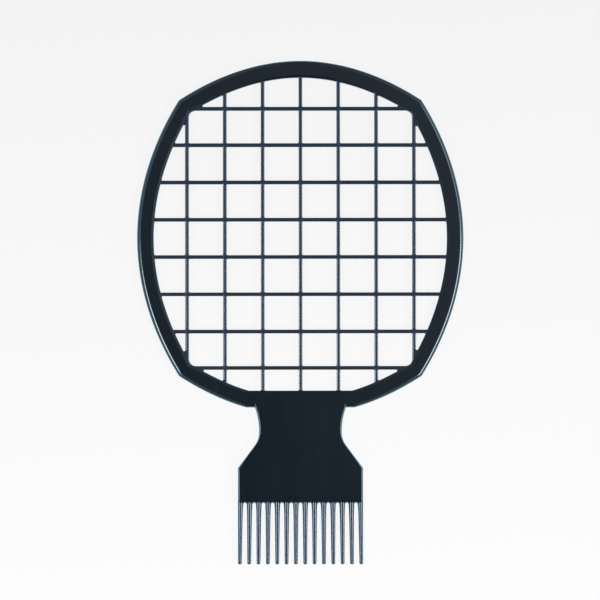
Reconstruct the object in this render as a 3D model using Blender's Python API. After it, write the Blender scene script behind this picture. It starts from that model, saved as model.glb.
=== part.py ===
"""Twist comb: a racket-shaped rim with a net of bars, a waisted grip plate and a row of comb teeth.

Metres, +Z up. The comb lies on its back. +Y runs from the teeth to the far end of the rim and +X to the
right. The back is on z = 0, and the origin is under the middle of the whole outline. The real comb is one
injection moulding. Here each of its members is a solid of its own, with a small gap to its neighbours.
"""

from math import asin, atan2, ceil, cos, pi, radians, sin, sqrt

import bmesh
import bpy

# Whole comb
THICKNESS = 0.0040  # rim and grip plate, flush with each other on both faces
FIT_GAP = 0.0003  # left between neighbouring members
OVERRUN = 0.0030  # how far a cutter runs past what it cuts
ARC_STEP = radians(4.0)  # largest turn between two points of a long arc
SMALL_ARC_STEP = radians(20.0)  # the same for edge rounds, slot ends and the waist

# Rim: arched caps at both ends, flatter arcs at both sides, and a straight bar under the net
RIM_HALF_WIDTH = 0.07304  # from the rim's centre to the middle of a side
RIM_HALF_HEIGHT = 0.07933  # from the rim's centre to the middle of a cap
RIM_CORNER_INSET = 0.01875  # a corner between a side and a cap is this far inside the half width
RIM_CORNER_DROP = 0.01760  # and this far inside the half height
RIM_SIDE_EASE = 0.00029  # how much a side's arc draws in, at most, between its middle and a corner
RIM_CAP_EASE = 0.00043  # the same for a cap's arc
RIM_SIDE_WIDTH = 0.0074  # of the band along the sides
RIM_CAP_WIDTH = 0.0075  # of the band along the caps, and of the straight bar
RIM_FLAT_CUT = 0.003545  # what the straight bar takes off the lower cap
RIM_EDGE_ROUND = 0.0016  # outer edges, front and back
RIM_INNER_ROUND = 0.0010  # inner edges, front and back

# Net: uprights along the comb and crossbars across it
UPRIGHT_PITCH = 0.01693
CROSSBAR_PITCH = 0.01668
END_CROSSBAR_INSET = 0.0004  # the first and last crossbars stand this much closer to their neighbours
NET_DROP = 0.0001  # the net's middle is this far below the rim's centre
NET_MARGIN = 0.0080  # least room between the outermost bar and the middle of the rim's side or cap
BAR_WIDTH = 0.0015
BAR_DEPTH = 0.0024
BAR_CHAMFER = 0.0003

# Grip plate, measured down from the rim's lower edge
PLATE_TOP_HALF_WIDTH = 0.0204  # where it meets the rim
PLATE_WAIST_INSET = 0.0019  # how much each side draws in at the waist
PLATE_WAIST_DROP = 0.0106  # down to the waist
PLATE_BEND_DROP = 0.00373  # from the waist down to where the flare's straight line would leave it
PLATE_BEND_RADIUS = 0.0098  # between the waist and the flare
PLATE_FLARE_DROP = 0.01276  # from there down to the corner where the flare ends
PLATE_FOOT_HALF_WIDTH = 0.0280  # from the shoulders to the teeth
PLATE_LENGTH = 0.04275  # down to the tops of the slots between the teeth
PLATE_EDGE_ROUND = 0.0006  # side edges, front and back
PLATE_LIP_LENGTH = 0.0016  # over this length both faces slope down to the teeth

# Teeth, measured down from the tops of the slots
TOOTH_COUNT = 14
TOOTH_LENGTH = 0.02744
TOOTH_ROOT_WIDTH = 0.00258
TOOTH_TIP_WIDTH = 0.00164
TOOTH_ROOT_DEPTH = 0.0036  # front to back, also of the plate's lip
TOOTH_TIP_DEPTH = 0.0028
TOOTH_TIP_ROUND = 0.0005  # length over which a tip closes in
TOOTH_LAND_SHARE = 0.40  # flat front and back land, of the tooth's width
TOOTH_SIDE_SHARE = 0.38  # flat side, of the tooth's depth
TOOTH_END_SHARE = 0.62  # a tip's end face, of the section above it

# Sizes and places that follow from the ones above
RIM_CORNER_X = RIM_HALF_WIDTH - RIM_CORNER_INSET
RIM_CORNER_Y = RIM_HALF_HEIGHT - RIM_CORNER_DROP
RIM_SIDE_RADIUS = (RIM_CORNER_Y**2 + RIM_CORNER_INSET**2) / (2 * RIM_CORNER_INSET)
RIM_CAP_RADIUS = (RIM_CORNER_X**2 + RIM_CORNER_DROP**2) / (2 * RIM_CORNER_DROP)
RIM_CENTRE_Y = (PLATE_LENGTH + TOOTH_LENGTH - RIM_FLAT_CUT) / 2
RIM_FOOT_Y = RIM_CENTRE_Y - RIM_HALF_HEIGHT + RIM_FLAT_CUT
SLOT_TOP_Y = RIM_FOOT_Y - PLATE_LENGTH
TIP_Y = SLOT_TOP_Y - TOOTH_LENGTH
MIDDLE_Z = THICKNESS / 2
ROOT_PITCH = (2 * PLATE_FOOT_HALF_WIDTH - TOOTH_ROOT_WIDTH) / (TOOTH_COUNT - 1)
SLOT_RADIUS = (ROOT_PITCH - TOOTH_ROOT_WIDTH) / 2
STUB_END_Y = SLOT_TOP_Y - SLOT_RADIUS

# Share of a wall's thickness that one edge round may take up
ROUND_LIMIT_SHARE = 0.45
BEND_LIMIT_SHARE = 0.95  # share of the drop below the waist that the bend may take up
HALVINGS = 40  # steps of a search by halving
# Turns the product of a share squared and what it leaves, which is largest at two thirds, into one of 1 there
EASE_SCALE = 27 / 4


def clear_scene():
    """Starts from an empty scene."""
    for item in list(bpy.data.objects):
        bpy.data.objects.remove(item, do_unlink=True)


def black_plastic(name, colour, roughness):
    """Moulded plastic of one colour."""
    material = bpy.data.materials.new(name)
    material.use_nodes = True
    shader = material.node_tree.nodes["Principled BSDF"]
    shader.inputs["Base Color"].default_value = (*colour, 1.0)
    shader.inputs["Roughness"].default_value = roughness
    shader.inputs["Metallic"].default_value = 0.0
    return material


def add_object(name, mesh, material, comb, place=(0.0, 0.0, 0.0), turn=0.0):
    """A smooth-shaded member of the comb, at its place and turned about Z."""
    item = bpy.data.objects.new(name, mesh)
    item.location = place
    item.rotation_euler = (0.0, 0.0, turn)
    item.parent = comb
    if material and not mesh.materials:
        mesh.materials.append(material)
    mesh.shade_smooth()
    mesh.set_sharp_from_angle(angle=radians(35.0))
    bpy.context.scene.collection.objects.link(item)
    return item


def add_cutter(name, mesh, comb):
    """A shape that only cuts or bounds others, drawn as a wire."""
    item = add_object(name, mesh, None, comb)
    item.hide_render = True
    item.display_type = "WIRE"
    return item


def shape(item, cutter, operation):
    """Keeps what the cutter leaves, or with INTERSECT what it holds."""
    modifier = item.modifiers.new(cutter.name, "BOOLEAN")
    modifier.object = cutter
    modifier.operation = operation
    modifier.solver = "EXACT"


def arc(centre, radius, start, end, step):
    """Points along an arc, both ends included."""
    count = max(1, ceil(abs(end - start) / step))
    turns = [start + (end - start) * i / count for i in range(count + 1)]
    return [(centre[0] + radius * cos(t), centre[1] + radius * sin(t)) for t in turns]


def rings_mesh(name, rings):
    """A closed body through rings of equally many points, with a flat face at each end."""
    work = bmesh.new()
    loops = [[work.verts.new(point) for point in ring] for ring in rings]
    for below, above in zip(loops, loops[1:]):
        for i in range(len(below)):
            work.faces.new((below[i - 1], below[i], above[i], above[i - 1]))
    work.faces.new(loops[0])
    work.faces.new(loops[-1])
    bmesh.ops.recalc_face_normals(work, faces=work.faces)
    mesh = bpy.data.meshes.new(name)
    work.to_mesh(mesh)
    work.free()
    return mesh


def boxes_mesh(name, boxes):
    """Separate boxes, each given by its lowest and highest corner."""
    work = bmesh.new()
    for low, high in boxes:
        spans = list(zip(low, high))
        corners = [(x, y, z) for x in spans[0] for y in spans[1] for z in spans[2]]
        verts = [work.verts.new(corner) for corner in corners]
        for face in ((0, 1, 3, 2), (4, 6, 7, 5), (0, 4, 5, 1), (2, 3, 7, 6), (0, 2, 6, 4), (1, 5, 7, 3)):
            work.faces.new([verts[i] for i in face])
    bmesh.ops.recalc_face_normals(work, faces=work.faces)
    mesh = bpy.data.meshes.new(name)
    work.to_mesh(mesh)
    work.free()
    return mesh


def inset(outline, distances):
    """The outline with each point moved inwards, square to both of its edges."""
    moved = []
    for i, (x, y) in enumerate(outline):
        before, after = outline[i - 1], outline[(i + 1) % len(outline)]
        first = atan2(y - before[1], x - before[0]) + pi / 2
        second = atan2(after[1] - y, after[0] - x) + pi / 2
        half_turn = (second - first + pi) % (2 * pi) / 2 - pi / 2
        reach = distances[i] / cos(half_turn)
        moved.append((x + reach * cos(first + half_turn), y + reach * sin(first + half_turn)))
    return moved


def edge_profile(edge_round):
    """How far a wall with rounded edges stands back at each height, from the back face to the front."""
    radius = min(edge_round, ROUND_LIMIT_SHARE * THICKNESS)
    count = ceil(pi / 2 / SMALL_ARC_STEP)
    turns = [pi / 2 * i / count for i in range(count + 1)]
    profile = [(radius * (1 - sin(t)), radius * (1 - cos(t))) for t in turns]
    return profile + [(depth, THICKNESS - height) for depth, height in reversed(profile)]


def rounded_slab_mesh(name, outline, fades, edge_round):
    """A slab of the comb's thickness, its front and back edges rounded.

    fades holds a share for each point of the outline: 1 where the edge is fully rounded, and 0 where it is
    left square.
    """
    rings = []
    for depth, z in edge_profile(edge_round):
        rings.append([(x, y, z) for x, y in inset(outline, [depth * fade for fade in fades])])
    return rings_mesh(name, rings)


def circles_corner(cap_centre_y, cap_radius, side_centre_x, side_radius):
    """The upper right crossing of a circle centred on the Y axis and one centred on the X axis."""
    across, along = side_centre_x, -cap_centre_y
    apart = sqrt(across**2 + along**2)
    reach = (cap_radius**2 - side_radius**2 + apart**2) / (2 * apart)
    rise = sqrt(cap_radius**2 - reach**2)
    x = (across * reach + along * rise) / apart
    y = cap_centre_y + (along * reach - across * rise) / apart
    return x, y


def eased_arc(centre, radius, middle, corner, start, end, ease):
    """Points along an arc that draws in a little on its way from its middle turn to its corner turn."""
    count = max(1, ceil(abs(end - start) / ARC_STEP))
    points = []
    for i in range(count + 1):
        turn = start + (end - start) * i / count
        share = abs((turn - middle) / (corner - middle))
        reach = radius - ease * EASE_SCALE * share**2 * (1 - share)
        points.append((centre[0] + reach * cos(turn), centre[1] + reach * sin(turn)))
    return points


def cut_turn(radius, corner, ease, depth):
    """The turn at which the lower cap's eased arc has risen by a depth above its middle, found by halving."""
    low, high = -pi / 2, corner
    for _ in range(HALVINGS):
        turn = (low + high) / 2
        point = eased_arc((0.0, radius), radius, -pi / 2, corner, turn, turn, ease)[0]
        low, high = (turn, high) if point[1] < depth else (low, turn)
    return low


def racket_outline(side_inset, cap_inset):
    """The rim's outline drawn in by an inset, anticlockwise from the right end of its straight foot.

    The sides and caps are eased arcs that meet in corners, and the foot is a straight cut.
    """
    side_radius = RIM_SIDE_RADIUS - side_inset
    cap_radius = RIM_CAP_RADIUS - cap_inset
    side_x = RIM_HALF_WIDTH - RIM_SIDE_RADIUS
    cap_y = RIM_HALF_HEIGHT - RIM_CAP_RADIUS
    corner = circles_corner(cap_y, cap_radius, side_x, side_radius)
    cap_turn = atan2(corner[1] - cap_y, corner[0])
    side_turn = atan2(corner[1], corner[0] - side_x)
    foot_turn = cut_turn(cap_radius, -cap_turn, RIM_CAP_EASE, RIM_FLAT_CUT)
    half = eased_arc((0.0, -cap_y), cap_radius, -pi / 2, -cap_turn, foot_turn, -cap_turn, RIM_CAP_EASE)
    for start, end in ((-side_turn, 0.0), (0.0, side_turn)):
        half += eased_arc((side_x, 0.0), side_radius, 0.0, side_turn, start, end, RIM_SIDE_EASE)[1:]
    half += eased_arc((0.0, cap_y), cap_radius, pi / 2, cap_turn, cap_turn, pi / 2, RIM_CAP_EASE)[1:]
    half = [(x, RIM_CENTRE_Y + y) for x, y in half]
    return half + [(-x, y) for x, y in reversed(half[:-1])]


def window_mesh():
    """The rim's opening, run on past both faces. It flares out there, which rounds the rim's inner edges."""
    outline = racket_outline(RIM_SIDE_WIDTH, RIM_CAP_WIDTH)
    profile = edge_profile(RIM_INNER_ROUND)
    profile.insert(0, (profile[0][0], -OVERRUN))
    profile.append((profile[-1][0], THICKNESS + OVERRUN))
    rings = []
    for depth, z in profile:
        rings.append([(x, y, z) for x, y in inset(outline, [-depth] * len(outline))])
    return rings_mesh("rim_window", rings)


def net_space_mesh():
    """The room for the net: the rim's opening, less the gap all round."""
    outline = racket_outline(RIM_SIDE_WIDTH + FIT_GAP, RIM_CAP_WIDTH + FIT_GAP)
    return rings_mesh("net_space", [[(x, y, z) for x, y in outline] for z in (0.0, THICKNESS)])


def add_rim(comb, window):
    """The band round the net. Its edge round fades out at the grip plate, which it meets face to face."""
    outline = racket_outline(0.0, 0.0)
    seat = min(PLATE_TOP_HALF_WIDTH, 2 * ROUND_LIMIT_SHARE * outline[0][0])
    outline += [(-seat, RIM_FOOT_Y), (seat, RIM_FOOT_Y)]
    fades = [1.0] * (len(outline) - 2) + [0.0, 0.0]
    mesh = rounded_slab_mesh("rim", outline, fades, RIM_EDGE_ROUND)
    rim = add_object("rim", mesh, black_plastic("rim_plastic", (0.0110, 0.0158, 0.0215), 0.30), comb)
    shape(rim, window, "DIFFERENCE")


def upright_places():
    """X of each upright, left to right. They stand evenly about the middle."""
    reach = int((RIM_HALF_WIDTH - RIM_SIDE_WIDTH - NET_MARGIN) / UPRIGHT_PITCH)
    return [UPRIGHT_PITCH * i for i in range(-reach, reach + 1)]


def crossbar_places():
    """Y of each crossbar, from the far end to the grip. The net's middle falls between two of them."""
    reach = int((RIM_HALF_HEIGHT - RIM_CAP_WIDTH - NET_MARGIN) / CROSSBAR_PITCH + 0.5)
    places = [CROSSBAR_PITCH * (reach - 0.5 - i) for i in range(2 * reach)]
    places[0] -= END_CROSSBAR_INSET
    places[-1] += END_CROSSBAR_INSET
    return [RIM_CENTRE_Y - NET_DROP + place for place in places]


def bar_mesh():
    """One bar of the net along Y, eight-sided and longer than the rim's opening."""
    side, face = BAR_WIDTH / 2, BAR_DEPTH / 2
    chamfer = min(BAR_CHAMFER, ROUND_LIMIT_SHARE * min(BAR_WIDTH, BAR_DEPTH))
    corner = [(side, face - chamfer), (side - chamfer, face)]
    section = corner + [(-x, z) for x, z in reversed(corner)]
    section += [(-x, -z) for x, z in section]
    reach = RIM_HALF_HEIGHT + RIM_HALF_WIDTH
    return rings_mesh("net_bar", [[(x, y, z) for x, z in section] for y in (-reach, reach)])


def add_net(comb, net_space):
    """The bars, cut to the rim's opening and halved where they cross.

    An upright keeps the front half of its depth at a crossing, and a crossbar the back half.
    """
    across = upright_places()
    along = crossbar_places()
    slack = BAR_WIDTH / 2 + FIT_GAP
    back, front = MIDDLE_Z - BAR_DEPTH / 2 - OVERRUN, MIDDLE_Z + BAR_DEPTH / 2 + OVERRUN
    reach_x, reach_y = RIM_HALF_WIDTH, RIM_HALF_HEIGHT
    under = [((-reach_x, y - slack, back), (reach_x, y + slack, MIDDLE_Z + FIT_GAP / 2)) for y in along]
    low_y, high_y = RIM_CENTRE_Y - reach_y, RIM_CENTRE_Y + reach_y
    over = [((x - slack, low_y, MIDDLE_Z - FIT_GAP / 2), (x + slack, high_y, front)) for x in across]
    upright_notches = add_cutter("upright_notches", boxes_mesh("upright_notches", under), comb)
    crossbar_notches = add_cutter("crossbar_notches", boxes_mesh("crossbar_notches", over), comb)

    upright_plastic = black_plastic("upright_plastic", (0.0130, 0.0180, 0.0250), 0.32)
    mesh = bar_mesh()
    for i, x in enumerate(across):
        place = (x, RIM_CENTRE_Y, MIDDLE_Z)
        upright = add_object(f"upright_{i + 1}", mesh, upright_plastic, comb, place)
        shape(upright, net_space, "INTERSECT")
        shape(upright, upright_notches, "DIFFERENCE")

    crossbar_plastic = black_plastic("crossbar_plastic", (0.0120, 0.0168, 0.0235), 0.32)
    mesh = bar_mesh()
    for i, y in enumerate(along):
        crossbar = add_object(f"crossbar_{i + 1}", mesh, crossbar_plastic, comb, (0.0, y, MIDDLE_Z), pi / 2)
        shape(crossbar, net_space, "INTERSECT")
        shape(crossbar, crossbar_notches, "DIFFERENCE")


def plate_half_outline():
    """The grip plate's right side from its top corner down, and on past its lower edge for the lip's cut."""
    waist_x = PLATE_TOP_HALF_WIDTH - PLATE_WAIST_INSET
    top_y = RIM_FOOT_Y - FIT_GAP
    waist_y = RIM_FOOT_Y - PLATE_WAIST_DROP
    above = top_y - waist_y
    upper_radius = (above**2 + PLATE_WAIST_INSET**2) / (2 * PLATE_WAIST_INSET)
    upper_turn = asin(above / upper_radius)
    upper = arc((waist_x + upper_radius, waist_y), upper_radius, pi - upper_turn, pi, ARC_STEP)

    flare_turn = atan2(PLATE_FOOT_HALF_WIDTH - waist_x, PLATE_FLARE_DROP)
    tangent_share = sin(flare_turn) / (1 + cos(flare_turn))
    bend_radius = min(PLATE_BEND_RADIUS, BEND_LIMIT_SHARE * PLATE_BEND_DROP / tangent_share)
    bend_y = waist_y - PLATE_BEND_DROP
    bend_centre = (waist_x + bend_radius, bend_y + bend_radius * tangent_share)
    bend = arc(bend_centre, bend_radius, pi, pi + flare_turn, SMALL_ARC_STEP / 2)

    shoulder = (PLATE_FOOT_HALF_WIDTH, bend_y - PLATE_FLARE_DROP)
    return upper + bend + [shoulder, (PLATE_FOOT_HALF_WIDTH, STUB_END_Y - OVERRUN)]


def plate_profile_mesh():
    """Side view of the plate, carried across it: square at the rim, both faces sloping down at the lip."""
    half_lip = TOOTH_ROOT_DEPTH / 2
    slope = (MIDDLE_Z - half_lip) / PLATE_LIP_LENGTH
    start_y = SLOT_TOP_Y + PLATE_LIP_LENGTH
    rise = MIDDLE_Z + OVERRUN * slope
    upper = [
        (STUB_END_Y, half_lip),
        (SLOT_TOP_Y, half_lip),
        (start_y + OVERRUN, rise),
        (start_y + OVERRUN, MIDDLE_Z + OVERRUN),
        (RIM_FOOT_Y + OVERRUN, MIDDLE_Z + OVERRUN),
    ]
    view = [(y, MIDDLE_Z - z) for y, z in upper] + [(y, MIDDLE_Z + z) for y, z in reversed(upper)]
    reach = PLATE_FOOT_HALF_WIDTH + OVERRUN
    return rings_mesh("plate_profile", [[(x, y, z) for y, z in view] for x in (-reach, reach)])


def tooth_x(number, width):
    """Middle of a tooth, given its width there. The end teeth's outer sides line up with the plate's."""
    first = width / 2 - PLATE_FOOT_HALF_WIDTH
    return first + number * (2 * PLATE_FOOT_HALF_WIDTH - width) / (TOOTH_COUNT - 1)


def slots_mesh():
    """The round upper ends of the slots between the teeth, run on past the plate."""
    work = bmesh.new()
    low, high = -OVERRUN, THICKNESS + OVERRUN
    for i in range(TOOTH_COUNT - 1):
        x = (tooth_x(i, TOOTH_ROOT_WIDTH) + tooth_x(i + 1, TOOTH_ROOT_WIDTH)) / 2
        outline = arc((x, STUB_END_Y), SLOT_RADIUS, 0.0, pi, SMALL_ARC_STEP)
        outline += [(x - SLOT_RADIUS, STUB_END_Y - OVERRUN), (x + SLOT_RADIUS, STUB_END_Y - OVERRUN)]
        foot = work.faces.new([work.verts.new((px, py, low)) for px, py in outline])
        raised = bmesh.ops.extrude_face_region(work, geom=[foot])["geom"]
        verts = [item for item in raised if isinstance(item, bmesh.types.BMVert)]
        bmesh.ops.translate(work, verts=verts, vec=(0.0, 0.0, high - low))
    bmesh.ops.recalc_face_normals(work, faces=work.faces)
    mesh = bpy.data.meshes.new("slots")
    work.to_mesh(mesh)
    work.free()
    return mesh


def add_plate(comb):
    """The waisted grip plate. Its lower edge has a stub for each tooth and round slot ends between them."""
    right = plate_half_outline()
    outline = [(-x, y) for x, y in right] + right[::-1]
    fades = [0.0] + [1.0] * (len(outline) - 2) + [0.0]
    mesh = rounded_slab_mesh("handle_plate", outline, fades, PLATE_EDGE_ROUND)
    plastic = black_plastic("plate_plastic", (0.0116, 0.0168, 0.0222), 0.30)
    plate = add_object("handle_plate", mesh, plastic, comb)
    profile = add_cutter("plate_profile", plate_profile_mesh(), comb)
    slots = add_cutter("tooth_slots", slots_mesh(), comb)
    shape(plate, profile, "INTERSECT")
    shape(plate, slots, "DIFFERENCE")


def tooth_section(half_width, half_depth):
    """Eight-sided section: narrow lands at the front and back, long flanks, a short flat at each side."""
    land, side = TOOTH_LAND_SHARE * half_width, TOOTH_SIDE_SHARE * half_depth
    corner = [(half_width, side), (land, half_depth)]
    section = corner + [(-x, z) for x, z in reversed(corner)]
    return section + [(-x, -z) for x, z in section]


def tooth_mesh(name, number):
    """One tapering tooth from its stub to its tip."""
    root_y = STUB_END_Y - FIT_GAP
    rings = []
    for y, end_share in ((root_y, 1.0), (TIP_Y + TOOTH_TIP_ROUND, 1.0), (TIP_Y, TOOTH_END_SHARE)):
        down = (SLOT_TOP_Y - y) / TOOTH_LENGTH
        width = TOOTH_ROOT_WIDTH + (TOOTH_TIP_WIDTH - TOOTH_ROOT_WIDTH) * down
        depth = TOOTH_ROOT_DEPTH + (TOOTH_TIP_DEPTH - TOOTH_ROOT_DEPTH) * down
        section = tooth_section(end_share * width / 2, end_share * depth / 2)
        x = tooth_x(number, width)
        rings.append([(x + px, y, MIDDLE_Z + pz) for px, pz in section])
    return rings_mesh(name, rings)


def add_teeth(comb):
    """The row of teeth, left to right."""
    material = black_plastic("tooth_plastic", (0.0135, 0.0188, 0.0260), 0.28)
    for i in range(TOOTH_COUNT):
        name = f"tooth_{i + 1:02d}"
        add_object(name, tooth_mesh(name, i), material, comb)


def build():
    clear_scene()
    comb = bpy.data.objects.new("comb", None)
    bpy.context.scene.collection.objects.link(comb)
    window = add_cutter("rim_window", window_mesh(), comb)
    net_space = add_cutter("net_space", net_space_mesh(), comb)
    add_rim(comb, window)
    add_net(comb, net_space)
    add_plate(comb)
    add_teeth(comb)


build()
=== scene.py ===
"""Twist comb in black plastic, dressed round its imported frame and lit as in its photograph.

Metres, +Z up. The comb lies on its back on z = 0, its far end towards +Y and its teeth towards -Y.
"""

import bmesh
import bpy
import numpy as np
from mathutils import Matrix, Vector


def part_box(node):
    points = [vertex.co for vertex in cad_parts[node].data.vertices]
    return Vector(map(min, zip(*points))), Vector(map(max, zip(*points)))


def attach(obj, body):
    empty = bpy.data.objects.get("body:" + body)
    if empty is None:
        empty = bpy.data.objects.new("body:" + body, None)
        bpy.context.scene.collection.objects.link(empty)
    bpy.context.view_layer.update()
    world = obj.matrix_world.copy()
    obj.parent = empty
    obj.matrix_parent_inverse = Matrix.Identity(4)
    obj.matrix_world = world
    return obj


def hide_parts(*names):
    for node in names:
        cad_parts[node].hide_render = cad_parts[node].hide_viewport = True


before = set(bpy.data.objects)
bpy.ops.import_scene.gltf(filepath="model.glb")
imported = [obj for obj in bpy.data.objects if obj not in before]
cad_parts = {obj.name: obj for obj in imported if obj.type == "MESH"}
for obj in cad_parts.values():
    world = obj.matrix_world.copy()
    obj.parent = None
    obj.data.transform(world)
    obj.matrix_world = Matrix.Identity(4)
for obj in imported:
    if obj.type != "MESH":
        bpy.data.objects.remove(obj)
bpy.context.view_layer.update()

# Rim and grip plate: a flat band round the net that runs on into the waisted plate held in the hand. Both
# are one injection moulding in black plastic, so they are one piece here. The mould halves part at half the
# thickness, and every outer wall leans in a little from there so that the comb leaves them.
THICKNESS = 0.0040
MIDDLE_Z = THICKNESS / 2
RIM_HALF_WIDTH = 0.07304
RIM_HALF_HEIGHT = 0.07933
RIM_CENTRE_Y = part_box("rim")[1].y - RIM_HALF_HEIGHT
RIM_CORNER = (0.05429, 0.06173)  # where a side meets a cap, from the rim's centre
RIM_SIDE_EASE = 0.00029  # how much a side's arc draws in, at most, between its middle and a corner
RIM_CAP_EASE = 0.00043  # the same for a cap's arc
EASE_SCALE = 27 / 4  # 1 over the largest value of u squared (1 - u)
RIM_SIDE_WIDTH = 0.0074
RIM_CAP_WIDTH = 0.0075
RIM_FLAT_CUT = 0.003545  # what the straight bar under the net takes off the lower cap
RIM_ROUND, RIM_LEAN = 0.0017, np.radians(72.0)
FOOT_STEPS, LOWER_STEPS, SIDE_STEPS, UPPER_STEPS = 4, 18, 60, 34
SEARCH_STEPS = 2000
WINDOW_BEVEL, WINDOW_LEAN = 0.0010, np.radians(45.0)
BEVEL_ROWS = 4
WINDOW_CORNER_PUSH, WINDOW_CORNER_REACH = 0.0006, 0.0090  # its corners stand out by this, within this reach
CORNER_SHARE = 0.5  # of the sharpest turn of the window's outline, above which a point is one of its corners
SEAT_HALF_WIDTH = 0.0204  # where the plate meets the rim
FOOT_Y = RIM_CENTRE_Y - RIM_HALF_HEIGHT + RIM_FLAT_CUT
WAIST_X = 0.0185
WAIST_DROP = 0.0106  # this and the next three are measured down from the rim's lower edge
BEND_DROP = 0.01433
SHOULDER_DROP = 0.02709
SLOT_DROP = 0.04275
BEND_RADIUS = 0.0098
PLATE_HALF_WIDTH = 0.0280
PLATE_ROUND, PLATE_LEAN = 0.00030, np.radians(75.0)
FLARE_ROUND, FLARE_LEAN = 0.00015, np.radians(84.0)  # its sloping sides stand steeper
WAIST_STEPS, BEND_STEPS, FLARE_STEPS, STRAIGHT_STEPS = 12, 10, 5, 6
TOOTH_COUNT = 14
TOOTH_ROOT_WIDTH = 0.00258
TOOTH_ROOT_PITCH = 0.004143
SLOT_TOP_Y = FOOT_Y - SLOT_DROP
SLOT_RADIUS = (TOOTH_ROOT_PITCH - TOOTH_ROOT_WIDTH) / 2
SLOT_ROUND, SLOT_LEAN = 0.00020, np.radians(74.0)
SLOT_POINTS = 13
STUB_END_Y = SLOT_TOP_Y - SLOT_RADIUS
LIP_START_Y = SLOT_TOP_Y + 0.0015
LIP_END_Y = SLOT_TOP_Y - 0.0002
LIP_SHARE = 0.82  # of the plate's thickness, left at the teeth
LIP_ROWS = 6
FACE_MARGIN = 0.00012  # a flat strip along each edge of the faces, which keeps their shading flat
ACROSS = (0.0, 1 / 3, 2 / 3, 1.0)  # rows of the band's faces
ROUND_TURNS = np.append(np.radians(np.arange(0.0, 70.0, 5.0)), RIM_LEAN)  # rows of the rim's round
LOW_DROPS = (0.00145, 0.0017, MIDDLE_Z)  # rows of the walls below it, down from the face
NEARLY_STRAIGHT = 0.98  # a cosine, above which two edges count as in line
MERGE_DISTANCE = 1e-7
GRIP_SHARP_TURN = np.radians(14.0)


def arc(centre, radius, start, end, steps):
    """Points of an arc: the centre plus the radius times the cosine and sine of evenly spaced turns."""
    turns = np.linspace(start, end, steps + 1)
    return np.column_stack([centre[0] + radius * np.cos(turns), centre[1] + radius * np.sin(turns)])


def eased_arc(centre, radius, middle, corner, start, end, steps, ease):
    """An arc that draws in on its way from its middle turn to its corner turn.

    Its radius is less by the ease times 27/4 u squared (1 - u), for the share u of that way.
    """
    turns = np.linspace(start, end, steps + 1)
    share = np.abs((turns - middle) / (corner - middle))
    reach = radius - ease * EASE_SCALE * share**2 * (1 - share)
    return np.column_stack([centre[0] + reach * np.cos(turns), centre[1] + reach * np.sin(turns)])


def circle_through(half_chord, rise):
    """Radius of the arc that rises by rise over a chord: (half chord squared + rise squared) / (2 rise)."""
    return (half_chord**2 + rise**2) / (2 * rise)


def racket(side_inset, cap_inset):
    """The rim's outline drawn in, anticlockwise from the right end of the plate's seat to the left end.

    Side and cap are arcs about (side_x, 0) and (0, cap_y). They cross along the line of their centres by
    (cap radius squared - side radius squared + distance squared) / (2 distance), and square to it by the
    half chord. The foot is a straight cut through the lower cap, from the turn at which the cap reaches it.
    """
    side_radius = circle_through(RIM_CORNER[1], RIM_HALF_WIDTH - RIM_CORNER[0])
    cap_radius = circle_through(RIM_CORNER[0], RIM_HALF_HEIGHT - RIM_CORNER[1])
    side_x, cap_y = RIM_HALF_WIDTH - side_radius, RIM_HALF_HEIGHT - cap_radius
    side_radius, cap_radius = side_radius - side_inset, cap_radius - cap_inset
    apart = np.hypot(side_x, cap_y)
    along = (cap_radius**2 - side_radius**2 + apart**2) / (2 * apart)
    chord = np.sqrt(cap_radius**2 - along**2)
    x = (side_x * along - cap_y * chord) / apart
    y = cap_y - (cap_y * along + side_x * chord) / apart
    cap_turn, side_turn = np.arctan2(y - cap_y, x), np.arctan2(y, x - side_x)
    up, down = np.pi / 2, -np.pi / 2

    def lower_cap(start, steps):
        """The lower cap's right half, from a turn to its corner."""
        return eased_arc((0.0, -cap_y), cap_radius, down, -cap_turn, start, -cap_turn, steps, RIM_CAP_EASE)

    whole = lower_cap(down, SEARCH_STEPS)
    foot_y = RIM_FLAT_CUT - cap_y - cap_radius
    foot_turn = np.interp(foot_y, whole[:, 1], np.linspace(down, -cap_turn, len(whole)))
    lower = lower_cap(foot_turn, LOWER_STEPS)
    foot = np.linspace((SEAT_HALF_WIDTH, lower[0, 1]), lower[0], FOOT_STEPS + 1)
    side = eased_arc((side_x, 0.0), side_radius, 0.0, side_turn, -side_turn, side_turn,
                     SIDE_STEPS, RIM_SIDE_EASE)
    upper = eased_arc((0.0, cap_y), cap_radius, up, cap_turn, cap_turn, up, UPPER_STEPS, RIM_CAP_EASE)
    right = np.concatenate([foot[:-1], lower[:-1], side[:-1], upper])
    return np.concatenate([right, right[-2::-1] * (-1, 1)]) + (0.0, RIM_CENTRE_Y)


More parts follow.
